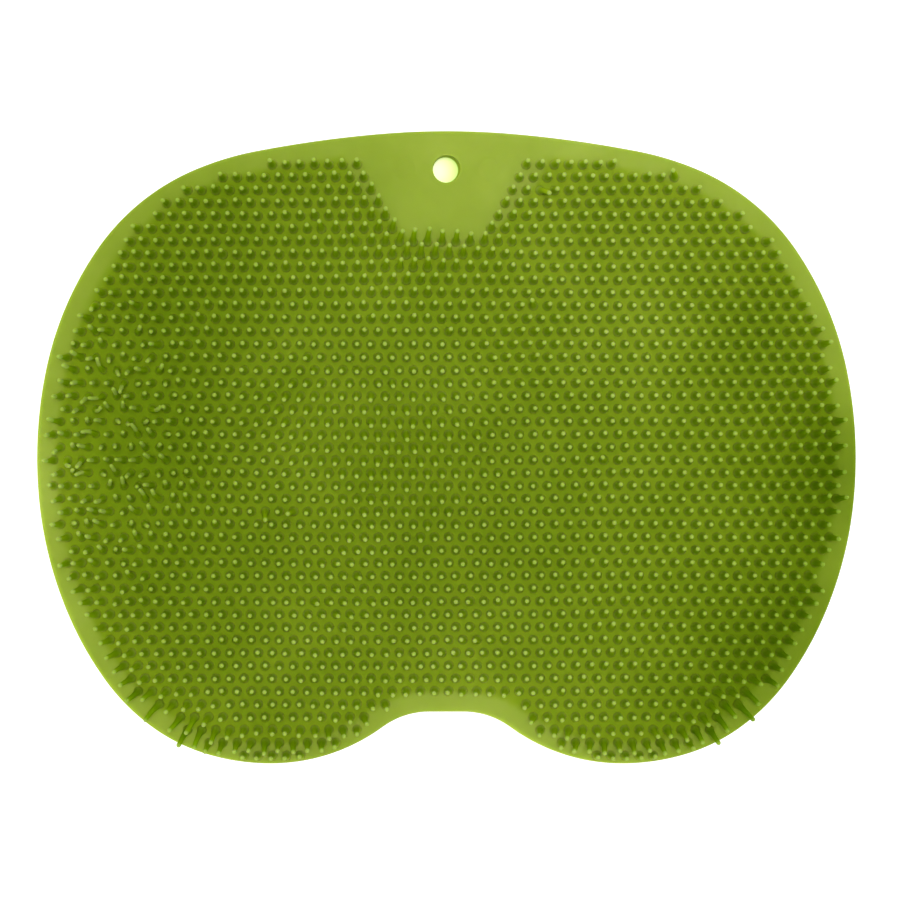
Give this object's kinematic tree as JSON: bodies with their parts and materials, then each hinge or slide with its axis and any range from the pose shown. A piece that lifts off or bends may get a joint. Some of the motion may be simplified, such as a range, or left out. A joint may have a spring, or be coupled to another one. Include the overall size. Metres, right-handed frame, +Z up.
{
  "type": "shower foot scrubber",
  "caption": "One-piece moulded silicone mat with a field of soft bristles on top, a hanging hole and suction cups beneath.",
  "frame": {"origin": "below the middle of the mat, on the plane of the suction cups' lips", "axes": "+X across the mat's width, +Y towards the hanging hole, +Z up through the bristles"},
  "size_m": [0.3004, 0.232, 0.0165],
  "materials": {
    "silicone": "moulded green silicone rubber, satin"
  },
  "bodies": {
    "root": {"scrubber_mat": "silicone"}
  },
  "joints": []
}
